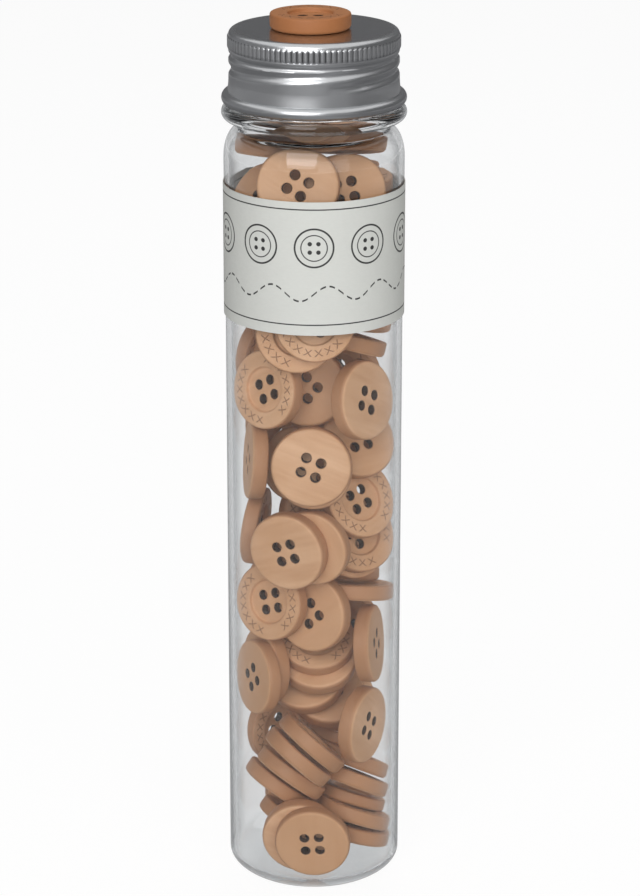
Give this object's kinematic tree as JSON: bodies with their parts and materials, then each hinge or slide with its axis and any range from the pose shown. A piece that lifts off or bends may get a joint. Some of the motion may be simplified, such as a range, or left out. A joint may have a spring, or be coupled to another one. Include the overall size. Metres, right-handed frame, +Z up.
{
  "type": "tube of wooden buttons",
  "caption": "Clear plastic tube jar with a rolled aluminium screw cap and a wrap-around paper label, filled with turned wooden four-hole buttons; one more button is glued on the cap as a knob.",
  "frame": {"origin": "centre of the foot, on the surface that the tube stands on", "axes": "+Z up the tube's axis to the cap, -Y to the front of the label, +X to the right seen from the front"},
  "size_m": [0.0412, 0.0412, 0.2058],
  "materials": {
    "tube": "clear gloss",
    "label": "matt paper",
    "cap": "rolled, satin",
    "liner": "foam",
    "knob": "waxed",
    "buttons": "waxed"
  },
  "bodies": {
    "jar": {"tube": "tube", "label": "label", "buttons_01": "buttons", "buttons_02": "buttons", "buttons_03": "buttons", "buttons_04": "buttons", "buttons_05": "buttons", "buttons_06": "buttons", "buttons_07": "buttons", "buttons_08": "buttons", "buttons_09": "buttons", "buttons_10": "buttons", "buttons_11": "buttons", "buttons_12": "buttons"},
    "seal": {"liner": "liner"},
    "lid": {"cap": "cap", "cap_button": "knob"}
  },
  "joints": [
    {"name": "lid_lift", "type": "slide", "parent": "jar", "child": "seal", "axis": [0, 0, 1], "range_m": [0, 0.0046]},
    {"name": "cap_turn", "type": "hinge", "parent": "seal", "child": "lid", "pos_m": [0, 0, 0.1935], "axis": [0, 0, 1], "range_deg": [0, 270]}
  ],
  "couplings": [
    {"joint": "lid_lift", "follows": "cap_turn", "m_per_rad": 0.00095493}
  ]
}
